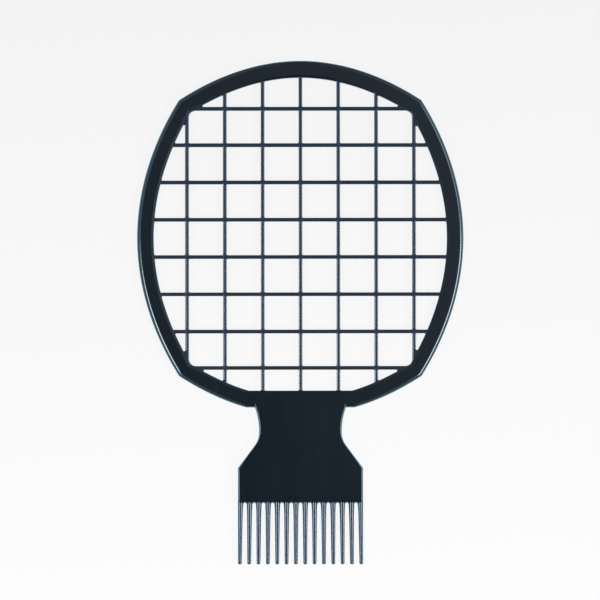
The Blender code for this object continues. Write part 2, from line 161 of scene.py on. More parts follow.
def plate_side():
    """The plate's right side, downwards: a slow arc in to the waist, a bend, a flare and a straight."""
    waist_y = FOOT_Y - WAIST_DROP
    radius = circle_through(WAIST_DROP, SEAT_HALF_WIDTH - WAIST_X)
    turn = np.arcsin(WAIST_DROP / radius)
    upper = arc((WAIST_X + radius, waist_y), radius, np.pi - turn, np.pi, WAIST_STEPS)
    flare_turn = np.arctan2(PLATE_HALF_WIDTH - WAIST_X, SHOULDER_DROP - BEND_DROP)
    tangent = BEND_RADIUS * np.tan(flare_turn / 2)
    bend_centre = (WAIST_X + BEND_RADIUS, FOOT_Y - BEND_DROP + tangent)
    bend = arc(bend_centre, BEND_RADIUS, np.pi, np.pi + flare_turn, BEND_STEPS)
    shoulder = (PLATE_HALF_WIDTH, FOOT_Y - SHOULDER_DROP)
    flare = np.linspace(bend[-1], shoulder, FLARE_STEPS + 1)[1:]
    lip = (PLATE_HALF_WIDTH, LIP_START_Y)
    straight = np.linspace(shoulder, lip, STRAIGHT_STEPS + 1)[1:]
    stub = np.linspace(lip, (PLATE_HALF_WIDTH, STUB_END_Y), LIP_ROWS + 1)[1:]
    return np.concatenate([upper, bend, flare, straight, stub])


def drawn_in(outline, before, after):
    """The closed anticlockwise outline, each point where its two edges cross once both have moved inwards.

    With unit normals n and m of the edges before and after a point, whose cosine is c, the point moves by
    (n + m)(d + e) / 2(1 + c) + (n - m)(d - e) / 2(1 - c), for the distances d and e of those edges. Where
    the edges are nearly in line the second term is left out, which gives the point the mean distance.
    """
    edge = np.roll(outline, -1, axis=0) - outline
    edge /= np.linalg.norm(edge, axis=1, keepdims=True)
    second = np.column_stack([-edge[:, 1], edge[:, 0]])
    first = np.roll(second, 1, axis=0)
    cosine = np.sum(first * second, axis=1)
    shared = (before + after) / (2 * (1 + cosine))
    unlike = (before - after) / (2 * np.maximum(1 - cosine, 1 - NEARLY_STRAIGHT))
    apart = np.where(cosine > NEARLY_STRAIGHT, 0.0, unlike)
    return outline + (first + second) * shared[:, None] + (first - second) * apart[:, None]


def leaning_wall(drops, edge_round, lean):
    """How far a wall stands back at each depth below the face.

    A round of the given radius turns from the flat face to the lean, and a straight wall goes on to the
    middle plane, where it stands back by nothing.
    """
    turned = edge_round * (1 - np.cos(lean))
    reach = edge_round * np.sin(lean) + (MIDDLE_Z - turned) / np.tan(lean)
    turn = np.arccos(np.clip(1 - drops / edge_round, -1, 1))
    straight = (MIDDLE_Z - drops) / np.tan(lean)
    return np.where(drops < turned, reach - edge_round * np.sin(turn), straight)


def closed_strip(levels):
    """Quads between loops of equally many points, stacked from the lowest loop to the highest."""
    rows, count = levels.shape[:2]
    index = np.arange(rows * count).reshape(rows, count)
    ahead = np.roll(index, -1, axis=1)
    quads = np.stack([index[:-1], ahead[:-1], ahead[1:], index[1:]], axis=-1)
    return levels.reshape(-1, 3), quads.reshape(-1, 4)


def open_sheet(grid):
    """Quads of a grid of points, whose faces look up where its rows go down and its columns to the right."""
    rows, count = grid.shape[:2]
    index = np.arange(rows * count).reshape(rows, count)
    quads = np.stack([index[:-1, :-1], index[1:, :-1], index[1:, 1:], index[:-1, 1:]], axis=-1)
    return grid.reshape(-1, 3), quads.reshape(-1, 4)


def at_height(points, z):
    """The points of a flat outline or grid, at height z."""
    return np.concatenate([points, np.full(points.shape[:-1] + (1,), z)], axis=-1)


def turned_over(loops):
    """The loops mirrored at the middle plane, in the opposite order."""
    return [loop * (1, 1, -1) + (0, 0, THICKNESS) for loop in loops[::-1]]


def lowered_lip(points):
    """Both faces of the plate drawn towards the middle plane as they near the teeth, in a smooth step.

    The step is 3 u squared - 2 u cubed, for the share u of the way down the lip.
    """
    share = np.clip((LIP_START_Y - points[:, 1]) / (LIP_START_Y - LIP_END_Y), 0.0, 1.0)
    scale = 1 - (1 - LIP_SHARE) * share**2 * (3 - 2 * share)
    return np.column_stack([points[:, :2], MIDDLE_Z + (points[:, 2] - MIDDLE_Z) * scale])


def joined_mesh(name, patches, sharp_turn):
    """One closed mesh of patches that share their borders, smooth but for turns above sharp_turn."""
    starts = np.cumsum([0] + [len(points) for points, _ in patches])
    faces = [face for start, (_, quads) in zip(starts, patches) for face in (quads + start).tolist()]
    mesh = bpy.data.meshes.new(name)
    mesh.from_pydata(np.concatenate([points for points, _ in patches]).tolist(), [], faces)
    work = bmesh.new()
    work.from_mesh(mesh)
    bmesh.ops.remove_doubles(work, verts=work.verts, dist=MERGE_DISTANCE)
    bmesh.ops.recalc_face_normals(work, faces=work.faces)
    work.to_mesh(mesh)
    work.free()
    mesh.shade_smooth()
    mesh.set_sharp_from_angle(angle=sharp_turn)
    return mesh


def feed(tree, socket, value):
    """Links another node's output to the socket, or sets the socket to a number or a colour."""
    if isinstance(value, bpy.types.NodeSocket):
        tree.links.new(value, socket)
    else:
        socket.default_value = value


def between(tree, value, limits, results):
    """The value carried evenly from between two limits to between two results, and held beyond them."""
    node = tree.nodes.new("ShaderNodeMapRange")
    for socket, number in zip(("From Min", "From Max", "To Min", "To Max"), (*limits, *results)):
        node.inputs[socket].default_value = number
    tree.links.new(value, node.inputs["Value"])
    return node.outputs["Result"]


def computed(tree, operation, *values):
    """The result of a math node on outputs or numbers."""
    node = tree.nodes.new("ShaderNodeMath")
    node.operation = operation
    for socket, value in zip(node.inputs, values):
        feed(tree, socket, value)
    return node.outputs["Value"]


def mixed(tree, blend_type, factor, first, second):
    """The result of a colour mix node on outputs, numbers or colours."""
    node = tree.nodes.new("ShaderNodeMix")
    node.data_type = "RGBA"
    node.blend_type = blend_type
    for socket, value in zip(("Factor", "A", "B"), (factor, first, second)):
        feed(tree, node.inputs[socket], value)
    return node.outputs["Result"]


def noise(tree, place, scale, detail, stretch=(1.0, 1.0, 1.0), turn=0.0):
    """A noise of about scale features to the metre, turned about Z. A stretch below 1 draws it out."""
    mapping = tree.nodes.new("ShaderNodeMapping")
    mapping.inputs["Rotation"].default_value = (0.0, 0.0, turn)
    mapping.inputs["Scale"].default_value = stretch
    tree.links.new(place, mapping.inputs["Vector"])
    texture = tree.nodes.new("ShaderNodeTexNoise")
    texture.inputs["Scale"].default_value = scale
    texture.inputs["Detail"].default_value = detail
    tree.links.new(mapping.outputs["Vector"], texture.inputs["Vector"])
    return texture.outputs["Fac"]


PLASTIC_IOR = 1.59
PLASTIC_SPECULAR = 0.75
MELT_SCALE, FLOW_SCALE, HAIRLINE_SCALE, GRAIN_SCALE = 45.0, 120.0, 900.0, 2600.0
FLOW_STRETCH, HAIRLINE_STRETCH = (1.0, 0.18, 1.0), (1.0, 0.012, 1.0)  # both are drawn out along the comb
HAIRLINE_TURN = 0.5  # off the comb's length
MELT_LIMITS, FLOW_LIMITS, HAIRLINE_LIMITS = (0.35, 0.65), (0.3, 0.7), (0.70, 0.78)  # of their noises
POLISH_DRIFT = 0.03  # how far the roughness goes up and down along the flow
HAIRLINE_DULLING = 0.06  # how much rougher a hairline is
GRAIN_SHARE = 0.10  # of the height, beside the waves along the flow
RELIEF_STRENGTH, RELIEF_DEPTH = 0.15, 0.00002


def moulded_plastic(name, colour, deep_colour, roughness):
    """Black injection-moulded plastic at real scale.

    Its colour drifts between two near blacks over a few centimetres, as the melt flowed. Its polish varies
    in streaks along the flow and in faint hairlines, and a very fine grain from the mould breaks the gloss.
    """
    material = bpy.data.materials.new(name)
    material.use_nodes = True
    tree = material.node_tree
    shader = tree.nodes["Principled BSDF"]
    shader.inputs["IOR"].default_value = PLASTIC_IOR
    shader.inputs["Specular IOR Level"].default_value = PLASTIC_SPECULAR
    place = tree.nodes.new("ShaderNodeTexCoord").outputs["Object"]

    melt = noise(tree, place, MELT_SCALE, detail=3.0)
    melt_share = between(tree, melt, MELT_LIMITS, (0.0, 1.0))
    tint = mixed(tree, "MIX", melt_share, (*deep_colour, 1.0), (*colour, 1.0))
    tree.links.new(tint, shader.inputs["Base Color"])

    flow = noise(tree, place, FLOW_SCALE, detail=4.0, stretch=FLOW_STRETCH)
    streaks = between(tree, flow, FLOW_LIMITS, (roughness - POLISH_DRIFT, roughness + POLISH_DRIFT))
    hairline = noise(tree, place, HAIRLINE_SCALE, detail=2.0, stretch=HAIRLINE_STRETCH, turn=HAIRLINE_TURN)
    hairlines = between(tree, hairline, HAIRLINE_LIMITS, (0.0, HAIRLINE_DULLING))
    tree.links.new(computed(tree, "ADD", streaks, hairlines), shader.inputs["Roughness"])

    grain = noise(tree, place, GRAIN_SCALE, detail=2.0)
    bump = tree.nodes.new("ShaderNodeBump")
    bump.inputs["Strength"].default_value = RELIEF_STRENGTH
    bump.inputs["Distance"].default_value = RELIEF_DEPTH
    tree.links.new(computed(tree, "MULTIPLY_ADD", grain, GRAIN_SHARE, flow), bump.inputs["Height"])
    tree.links.new(bump.outputs["Normal"], shader.inputs["Normal"])
    return material


def add_piece(name, mesh, material, *nodes):
    """A finished piece that stands for these nodes of the frame and moves with its only body."""
    mesh.materials.append(material)
    piece = bpy.data.objects.new(name, mesh)
    bpy.context.scene.collection.objects.link(piece)
    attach(piece, "root")
    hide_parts(*nodes)


rim_outline = racket(0.0, 0.0)
right_side = plate_side()[1:]
slot_turns = np.linspace(np.pi, 0.0, SLOT_POINTS)
slot_x = (np.arange(TOOTH_COUNT - 1) - (TOOTH_COUNT - 2) / 2) * TOOTH_ROOT_PITCH
slot_end = np.column_stack([SLOT_RADIUS * np.cos(slot_turns), STUB_END_Y + SLOT_RADIUS * np.sin(slot_turns)])
slot_ends = np.column_stack([slot_x, np.zeros(len(slot_x))])[:, None] + slot_end
outline = np.concatenate([rim_outline, right_side * (-1, 1), slot_ends.reshape(-1, 2), right_side[::-1]])
last_rim, last_left = len(rim_outline) - 1, len(rim_outline) + len(right_side) - 1
first_right = len(outline) - len(right_side)

# Edge i runs from point i on. Its wall is the rim's, the plate's, a slot's, the flat end of a tooth's stub,
# which stays square inside the tooth, or the flare's. It turns from the plate's into the flare's along the
# bend, so each edge has a share of every kind.
RIM_WALL, PLATE_WALL, SLOT_WALL, STUB_WALL, FLARE_WALL = range(5)
wall_of_edge = np.full(len(outline), PLATE_WALL)
wall_of_edge[:last_rim] = RIM_WALL
wall_of_edge[last_left:first_right] = SLOT_WALL
wall_of_edge[last_left + np.arange(TOOTH_COUNT) * SLOT_POINTS] = STUB_WALL
wall_shares = np.eye(FLARE_WALL + 1)[wall_of_edge]
flare_share = np.append(np.arange(1, BEND_STEPS + 1) / BEND_STEPS, np.ones(FLARE_STEPS))
flare_edges = WAIST_STEPS + np.arange(BEND_STEPS + FLARE_STEPS)
for edges in (last_rim + flare_edges, len(outline) - 1 - flare_edges):
    wall_shares[edges, PLATE_WALL], wall_shares[edges, FLARE_WALL] = 1 - flare_share, flare_share

wall_drops = np.append(RIM_ROUND * (1 - np.cos(ROUND_TURNS)), LOW_DROPS)
wall_setbacks = np.stack([
    leaning_wall(wall_drops, RIM_ROUND, RIM_LEAN),
    leaning_wall(wall_drops, PLATE_ROUND, PLATE_LEAN),
    leaning_wall(wall_drops, SLOT_ROUND, SLOT_LEAN),
    np.zeros(len(wall_drops)),
    leaning_wall(wall_drops, FLARE_ROUND, FLARE_LEAN),
])
face_margins = np.array([FACE_MARGIN, FACE_MARGIN, FACE_MARGIN, 0.0, FACE_MARGIN])


def outer_loop(setback):
    """The outline with each kind of wall drawn in by its own setback."""
    distance = wall_shares @ setback
    return drawn_in(outline, np.roll(distance, 1), distance)


face_loop = outer_loop(wall_setbacks[:, 0] + face_margins)
wall_loops = []
for setback, drop in zip(wall_setbacks.T, wall_drops):
    wall_loops.append(at_height(outer_loop(setback), THICKNESS - drop))
upper_wall = [*wall_loops[::-1], at_height(face_loop, THICKNESS)]
outer_wall = closed_strip(np.stack(turned_over(upper_wall[1:]) + upper_wall))

bottom_row = face_loop[last_left:first_right + 1]
column = (bottom_row[:, 0] - bottom_row[0, 0]) / (bottom_row[-1, 0] - bottom_row[0, 0])
window_outline = racket(RIM_SIDE_WIDTH, RIM_CAP_WIDTH)
window_edge = np.diff(window_outline, axis=0)
turning = window_edge[:-1, 0] * window_edge[1:, 1] - window_edge[:-1, 1] * window_edge[1:, 0]
for corner in window_outline[1:-1][turning > CORNER_SHARE * turning.max()]:
    outward = corner - (0.0, RIM_CENTRE_Y)
    outward /= np.linalg.norm(outward)
    near = np.clip(1 - np.linalg.norm(window_outline - corner, axis=1) / WINDOW_CORNER_REACH, 0.0, 1.0)
    window_outline = window_outline + WINDOW_CORNER_PUSH * np.outer(near**2, outward)
window_foot = window_outline[-1] + np.outer(column, window_outline[0] - window_outline[-1])
window_outline = np.concatenate([window_outline, window_foot[1:-1]])

# The bevel goes from the window's own outline, below the face, out into the band and up to the face.
window_wall = []
for inset in np.linspace(WINDOW_BEVEL, 0.0, BEVEL_ROWS):
    loop = drawn_in(window_outline, inset - WINDOW_BEVEL, inset - WINDOW_BEVEL)
    window_wall.append(at_height(loop, THICKNESS - inset * np.tan(WINDOW_LEAN)))
window_face = drawn_in(window_outline, -WINDOW_BEVEL - FACE_MARGIN, -WINDOW_BEVEL - FACE_MARGIN)
window_wall.append(at_height(window_face, THICKNESS))
inner_wall = closed_strip(np.stack(turned_over(window_wall) + window_wall))

inner_edge, outer_edge = window_face[:last_rim + 1], face_loop[:last_rim + 1]
band = np.stack([(1 - share) * inner_edge + share * outer_edge for share in ACROSS])
foot_row = window_face[last_rim] + np.outer(column, window_face[0] - window_face[last_rim])
left_ends = face_loop[last_rim:last_left + 1]
right_ends = np.concatenate([face_loop[:1], face_loop[:first_right - 1:-1]])
plate_rows = left_ends[:, None] + column[None, :, None] * (right_ends - left_ends)[:, None]
lip_share = (np.arange(1, LIP_ROWS + 1) / LIP_ROWS)[:, None, None]
plate_rows[-LIP_ROWS:] = (1 - lip_share) * plate_rows[-LIP_ROWS - 1] + lip_share * bottom_row
seat_rows = [(1 - share) * foot_row + share * plate_rows[0] for share in ACROSS[:-1]]
plate = np.concatenate([np.stack(seat_rows), plate_rows])
flat_faces = [open_sheet(at_height(grid, z)) for grid in (band, plate) for z in (0.0, THICKNESS)]
grip_patches = [(lowered_lip(points), quads) for points, quads in (outer_wall, inner_wall, *flat_faces)]
grip_mesh = joined_mesh("rim_and_grip", grip_patches, GRIP_SHARP_TURN)
grip_plastic = moulded_plastic("rim_and_grip_plastic", colour=(0.0060, 0.0086, 0.0110),
                               deep_colour=(0.0050, 0.0074, 0.0094), roughness=0.13)
add_piece("rim_and_grip", grip_mesh, grip_plastic, "rim", "handle_plate")

# Net: seven thin bars along the comb and eight across it, all cast into the rim and into each other in the
# same shot. Their edges are rounded, and a small fillet fills every corner where a bar meets a bar or the
# rim. The four corners of the net have a bigger one, which joins its outermost bars to the rim.
UPRIGHT_COUNT, CROSSBAR_COUNT = 7, 8
BAR_HALF_WIDTH = 0.00081
BAR_HALF_DEPTH = 0.0012
BAR_CROWN = np.radians(22.0)  # its arched front and back turn by this much to the edges
BAR_ROUND, BAR_LEAN = 0.00026, np.radians(68.0)  # its edges turn down to this lean, above upright sides
BAR_EDGE_TURNS = np.linspace(BAR_LEAN, BAR_CROWN, 7)
BAR_CROWN_TURNS = np.linspace(BAR_CROWN, 0.0, 5)[1:]
UPRIGHT_PROUD = 0.00001  # the uprights stand this much above the crossbars
UPRIGHT_SHIFT = 0.00012  # the uprights stand a hair to the right in the rim
CROSSING_FILLET = 0.00055
RIM_FILLET = 0.00050
CORNER_FILLET = 0.0031
FILLET_SHARE = 0.33  # of its radius, which each of the two bars at a corner fills to its side
FILLET_STEPS = 1 - np.cos(np.radians(np.linspace(0.0, 90.0, 9)))  # along a fillet, as shares of its radius
BAR_ROOTING = 0.0036  # how far a bar runs on inside the rim
WEDGE_LIMIT = np.radians(80.0)  # corners sharper than this are filled up to the rim
WEDGE_REACH = 0.0028  # at most, to the side of the bar
WEDGE_ROOT = 0.0014  # how far the filling runs into the rim
SEAM = 0.000002  # between the two sides of a step
BAR_SHARP_TURN = np.radians(30.0)
ENDS = np.array([-1, 1])  # a bar's low and high end, and its low and high side


def window_span(axis, place):
    """Where a line across the window meets its outline, lowest first, and the outline's directions there.

    A crossing lies on the edge whose ends are on both sides of the line, at the share of the edge at which
    its distance from the line comes to nothing. A direction is (along the line, across it), to + across.
    """
    ahead = np.roll(window_outline, -1, axis=0)
    first, second = window_outline[:, 1 - axis], ahead[:, 1 - axis]
    crossed = (first - place) * (second - place) < 0
    share = (place - first[crossed]) / (second - first)[crossed]
    edge = (ahead - window_outline)[crossed]
    values = window_outline[crossed, axis] + share * edge[:, axis]
    ways = edge[:, [axis, 1 - axis]] * np.sign(edge[:, 1 - axis])[:, None]
    ways /= np.linalg.norm(ways, axis=1, keepdims=True)
    order = np.argsort(values)[[0, -1]]
    return values[order], ways[order]


def fillet(distance, radius):
    """What a quarter-round fillet adds to a wall at a distance from its corner: r - sqrt(r^2 - (r - d)^2).

    It stops a little past the middle of the round, because the bar across fills the rest.
    """
    left = np.clip(radius - np.maximum(distance, 0.0), 0.0, radius)
    return np.minimum(radius - np.sqrt(radius**2 - left**2), FILLET_SHARE * radius)


def wedge_fillet(distance, angle, radius):
    """What a fillet adds to a bar's side at a distance from a corner of any angle between it and the rim.

    Its circle touches the side at r / tan(half the angle) from the corner. Closer to the corner than the
    circle reaches, a sharp corner is full up to the rim: d times the angle's tangent, and on into the rim.
    """
    touch = radius / np.tan(angle / 2)
    near = np.clip(touch - distance, 0.0, radius)
    rounded = radius - np.sqrt(radius**2 - near**2)
    full = np.minimum(np.maximum(distance, 0.0) * np.tan(min(angle, WEDGE_LIMIT)) + WEDGE_ROOT, WEDGE_REACH)
    return np.where((distance < touch - radius) & (angle < WEDGE_LIMIT), np.maximum(full, rounded), rounded)


def bar_quarter(half_depth):
    """A quarter of a bar's section, from its edge to its middle, as points (across, up).

    The arched front turns by BAR_CROWN on a wide radius, and the edge goes on by a small one to BAR_LEAN.
    """
    crown_x = BAR_HALF_WIDTH - BAR_ROUND * (np.sin(BAR_LEAN) - np.sin(BAR_CROWN))
    radius = crown_x / np.sin(BAR_CROWN)
    crown_drop = radius * (1 - np.cos(BAR_CROWN))
    edge_x = crown_x + BAR_ROUND * (np.sin(BAR_EDGE_TURNS) - np.sin(BAR_CROWN))
    edge_drop = crown_drop + BAR_ROUND * (np.cos(BAR_CROWN) - np.cos(BAR_EDGE_TURNS))
    across = np.append(edge_x, radius * np.sin(BAR_CROWN_TURNS))
    drop = np.append(edge_drop, radius * (1 - np.cos(BAR_CROWN_TURNS)))
    return np.column_stack([across, half_depth - drop])


def whole_section(quarter):
    """The loop of a section from its upper right quarter, which runs from the edge to the middle.

    The quarter is mirrored to the left, and then both are turned over.
    """
    back = quarter[..., ::-1, :]
    return np.concatenate([quarter, back * (-1, 1), quarter * (-1, -1), back * (1, -1)], axis=-2)


def capped_strip(levels):
    """A closed strip and a many-sided face over each of its ends, as patches."""
    points = np.arange(levels.shape[1])
    return [closed_strip(levels), (levels[0], points[None, :]), (levels[-1], points[None, ::-1])]


def bar_mesh(name, axis, place, crossings, half_depth, corner_side):
    """A bar along an axis (0 for X, 1 for Y), carried from rim to rim at a place on the other axis.

    Each side's half width is the bar's, plus the largest fillet that a crossing or the rim gives there. The
    inner side of an outermost bar is its corner_side (0 for low, 1 for high, None for the bars between). It
    has the wide fillets of the net's corners at its first and last crossing, and none at the rim.
    """
    radii, rim_fillets = np.full((2, len(crossings)), CROSSING_FILLET), [RIM_FILLET, RIM_FILLET]
    if corner_side is not None:
        radii[corner_side, [0, -1]], rim_fillets[corner_side] = CORNER_FILLET, 0.0
    spans, angles = [], []
    for side in ENDS:
        span, ways = window_span(axis, place + side * BAR_HALF_WIDTH)
        spans.append(span)
        angles.append(np.arccos(-side * ENDS * ways[:, 0]))
    low, high = np.min(spans) - BAR_ROOTING, np.max(spans) + BAR_ROOTING

    stations = [np.array([low, high])]
    for middle, radius in zip(crossings, np.max(radii, axis=0)):
        steps = BAR_HALF_WIDTH + radius * FILLET_STEPS
        stations.append((middle + steps[:, None] * ENDS).ravel())
    for span, corner_angles, radius in zip(spans, angles, rim_fillets):
        for end, inward, angle in zip(span, -ENDS, corner_angles):
            inner = radius / np.tan(angle / 2) - radius * (1 - FILLET_STEPS)
            stations.append(end + inward * np.append(inner, [inner.min() - SEAM, 0.0]))
    along = np.unique(np.round(np.concatenate(stations), 8))
    along = along[(along >= low) & (along <= high)]

    widenings = []
    for span, corner_angles, side_radii, rim_radius in zip(spans, angles, radii, rim_fillets):
        extras = [fillet(np.abs(along - middle) - BAR_HALF_WIDTH, radius)
                  for middle, radius in zip(crossings, side_radii)]
        if rim_radius > 0:
            extras.append(wedge_fillet(along - span[0], corner_angles[0], rim_radius))
            extras.append(wedge_fillet(span[1] - along, corner_angles[1], rim_radius))
        widenings.append(np.max(extras, axis=0)[:, None])
    quarter = bar_quarter(half_depth)
    section = whole_section(quarter)
    right = np.repeat([1, -1, -1, 1], len(quarter))
    across = place + right * np.where(right > 0, widenings[1], widenings[0]) + section[:, 0]
    along = np.broadcast_to(along[:, None], across.shape)
    height = np.broadcast_to(MIDDLE_Z + section[:, 1], across.shape)
    points = np.stack([along, across, height] if axis == 0 else [across, along, height], axis=-1)
    return joined_mesh(name, capped_strip(points), BAR_SHARP_TURN)


def middle_of(node, axis):
    """The middle of a node's box along an axis."""
    return sum(corner[axis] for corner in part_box(node)) / 2


upright_x = [middle_of(f"upright_{i + 1}", 0) + UPRIGHT_SHIFT for i in range(UPRIGHT_COUNT)]
crossbar_y = [middle_of(f"crossbar_{i + 1}", 1) for i in range(CROSSBAR_COUNT)]
# The net's plastic is a lighter, bluer black than the rim's. That is painted sheen for the side light that
# the rounded bars catch, on what is one plastic with the rim.
bar_plastic_painted_sheen = moulded_plastic("net_plastic_painted_sheen", colour=(0.0088, 0.0138, 0.0210),
                              deep_colour=(0.0076, 0.0122, 0.0190), roughness=0.24)
for i, x in enumerate(upright_x):
    corner_side = {0: 1, UPRIGHT_COUNT - 1: 0}.get(i)
    upright = bar_mesh(f"net_upright_{i + 1}", 1, x, crossbar_y, BAR_HALF_DEPTH + UPRIGHT_PROUD, corner_side)
    add_piece(f"net_upright_{i + 1}", upright, bar_plastic_painted_sheen, f"upright_{i + 1}")
for i, y in enumerate(crossbar_y):
    corner_side = {0: 0, CROSSBAR_COUNT - 1: 1}.get(i)
    crossbar = bar_mesh(f"net_crossbar_{i + 1}", 0, y, upright_x, BAR_HALF_DEPTH, corner_side)
    add_piece(f"net_crossbar_{i + 1}", crossbar, bar_plastic_painted_sheen, f"crossbar_{i + 1}")

# Teeth: fourteen slender tapering teeth in a row, moulded in one with the plate. Each has a narrow flat land
# at the front and back, wide rounds beside it that turn into steep flanks, and a blunt rounded tip so that
# it doesn't scratch.
TOOTH_TIP_WIDTH = 0.00168
TOOTH_FLARE = 0.00032  # the width that it loses in the first few millimetres, over and above its even taper
FLARE_POWER = 12
TOOTH_TIP_PITCH = 0.004183
TOOTH_ROOT_DEPTH = 0.0036
TOOTH_TIP_DEPTH = 0.0028
TOOTH_ROOT_LAND, TOOTH_TIP_LAND = 0.06, 0.24  # of its width, flat at the front and back
TOOTH_ROUND_SHARE = 0.87  # of its width, where the rounds from the lands end
TOOTH_LEAN = np.radians(72.0)  # of the flanks, which go on from the rounds
TOOTH_TURNS = np.linspace(0.0, TOOTH_LEAN, 9)
TOOTH_ROWS = 24
TOOTH_TIP_ROUND = 0.0005
TIP_TURNS = np.radians(np.linspace(0.0, 82.0, 7))
TIP_CLOSING = 0.8  # at 1 the tip would close in almost to a point
TOOTH_ROOTING = 0.0024  # how far a tooth runs on inside the plate
TOOTH_SHARP_TURN = np.radians(32.0)
TIP_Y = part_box("tooth_01")[0].y


def tooth_mesh(name, number):
    """A tapering tooth: narrow lands, rounds down to steep flanks and upright sides, from plate to tip.

    Depth and width fall evenly from the plate to the tip, but for the flare at the root, which falls as the
    12th power of what is left of the way. Along the tip's round the section closes in to sqrt(1 - 0.8 s^2)
    of itself, for the share s of the round. The end teeth stop at the plate's side line.
    """
    tip_share = np.sin(TIP_TURNS)
    shaft = np.linspace(STUB_END_Y, TIP_Y + TOOTH_TIP_ROUND, TOOTH_ROWS)[:-1]
    y = np.concatenate([[STUB_END_Y + TOOTH_ROOTING], shaft, TIP_Y + TOOTH_TIP_ROUND * (1 - tip_share)])
    scale = np.ones(len(y))
    scale[-len(tip_share):] = np.sqrt(1 - TIP_CLOSING * tip_share**2)
    down = np.maximum(STUB_END_Y - y, 0.0) / (STUB_END_Y - TIP_Y)
    even_taper = TOOTH_ROOT_WIDTH - TOOTH_FLARE - TOOTH_TIP_WIDTH
    width = TOOTH_TIP_WIDTH + even_taper * (1 - down) + TOOTH_FLARE * (1 - down)**FLARE_POWER
    depth = TOOTH_ROOT_DEPTH + (TOOTH_TIP_DEPTH - TOOTH_ROOT_DEPTH) * down
    half_width, half_depth = width[:, None] / 2, depth[:, None] / 2
    land = (TOOTH_ROOT_LAND + (TOOTH_TIP_LAND - TOOTH_ROOT_LAND) * down[:, None]) * half_width
    radius = (TOOTH_ROUND_SHARE * half_width - land) / np.sin(TOOTH_LEAN)
    flank = (1 - TOOTH_ROUND_SHARE) * half_width * np.tan(TOOTH_LEAN)
    across = np.append(land + radius * np.sin(TOOTH_TURNS), half_width, axis=1)
    up = half_depth - radius * (1 - np.cos(TOOTH_TURNS))
    up = np.append(up, up[:, -1:] - flank, axis=1)
    section = whole_section(np.stack([across, up], axis=-1)[:, ::-1]) * scale[:, None, None]

    place = number - (TOOTH_COUNT - 1) / 2
    middle = place * (TOOTH_ROOT_PITCH + (TOOTH_TIP_PITCH - TOOTH_ROOT_PITCH) * down)
    room = np.minimum((PLATE_HALF_WIDTH - np.abs(middle)) / (width / 2), 1.0)
    outer = (np.sign(section[..., 0]) == np.sign(place)) & (np.abs(place) > TOOTH_COUNT / 2 - 1)
    x = middle[:, None] + section[..., 0] * np.where(outer, room[:, None], 1.0)
    points = np.stack([x, np.broadcast_to(y[:, None], x.shape), MIDDLE_Z + section[..., 1]], axis=-1)
    return joined_mesh(name, capped_strip(points), TOOTH_SHARP_TURN)


# The teeth's plastic is a lighter, bluer black again. That is painted sheen for the light on their rounds
# and flanks, on what is one plastic with the plate.
tooth_plastic = moulded_plastic("tooth_plastic", colour=(0.0090, 0.0180, 0.0310),
                                deep_colour=(0.0074, 0.0156, 0.0275), roughness=0.20)
for i in range(TOOTH_COUNT):
    tooth = tooth_mesh(f"comb_tooth_{i + 1:02d}", i)
    add_piece(f"comb_tooth_{i + 1:02d}", tooth, tooth_plastic, f"tooth_{i + 1:02d}")

# Table: the plain pale top that the comb lies on, in a matt paint. It keeps a little of the comb's shadow,
# and the plastic mirrors it as if a cool light came from beside it.
FLOOR_HALF = 3.0
FLOOR_DROP = 0.00002
FLOOR_COLOUR = (0.80, 0.64, 0.54)  # warm, which evens out the cool lamps
CAMERA_GLOW = 0.945  # the share of its own glow in what the camera sees
GLOW_WAY, GLOW_LEVELS = (-0.130, 0.140), (0.985, 0.905)  # from the teeth to the far end
GLOSSY_TINT = (0.32, 0.76, 0.96)  # of the table top as the plastic mirrors it
FAR_WAY, FAR_LEVELS = (0.092, 0.104), (1.0, 0.50)  # how it weakens at the far end


def axes_of(tree, vector):
    """The outputs X, Y and Z of a vector."""
    split = tree.nodes.new("ShaderNodeSeparateXYZ")
    tree.links.new(vector, split.inputs["Vector"])
    return split.outputs


def shown(tree, share, first, second, output):
    """Shows the first shader, and the second one by its share, at a new output node."""
    mix = tree.nodes.new("ShaderNodeMixShader")
    for socket, value in zip(mix.inputs, (share, first, second)):
        tree.links.new(value, socket)
    tree.links.new(mix.outputs["Shader"], tree.nodes.new(output).inputs["Surface"])


def floor_material():
    """Pale matt top.

    Seen directly it is mostly an even glow, a little lighter towards the teeth, over a matt colour that
    takes the shadow. The plastic mirrors it as a cool light, which is weaker at the far end.
    """
    material = bpy.data.materials.new("pale_table")
    material.use_nodes = True
    tree = material.node_tree
    tree.nodes.clear()
    rays = tree.nodes.new("ShaderNodeLightPath").outputs
    y = axes_of(tree, tree.nodes.new("ShaderNodeTexCoord").outputs["Object"])["Y"]
    direct = between(tree, y, GLOW_WAY, GLOW_LEVELS)
    mirrored = mixed(tree, "MULTIPLY", 1.0, (*GLOSSY_TINT, 1.0), between(tree, y, FAR_WAY, FAR_LEVELS))
    glow = tree.nodes.new("ShaderNodeEmission")
    tree.links.new(mixed(tree, "MIX", rays["Is Glossy Ray"], direct, mirrored), glow.inputs["Color"])
    matt = tree.nodes.new("ShaderNodeBsdfDiffuse")
    matt.inputs["Color"].default_value = (*FLOOR_COLOUR, 1.0)
    share = computed(tree, "MULTIPLY_ADD", rays["Is Camera Ray"], CAMERA_GLOW, rays["Is Glossy Ray"])
    shown(tree, share, matt.outputs["BSDF"], glow.outputs["Emission"], "ShaderNodeOutputMaterial")
    return material


floor_mesh = bpy.data.meshes.new("pale_table")
floor_signs = ((-1, -1), (1, -1), (1, 1), (-1, 1))
floor_corners = [(x * FLOOR_HALF, y * FLOOR_HALF, -FLOOR_DROP) for x, y in floor_signs]
floor_mesh.from_pydata(floor_corners, [], [(0, 1, 2, 3)])
floor_mesh.materials.append(floor_material())
floor = bpy.data.objects.new("pale_table", floor_mesh)
bpy.context.scene.collection.objects.link(floor)

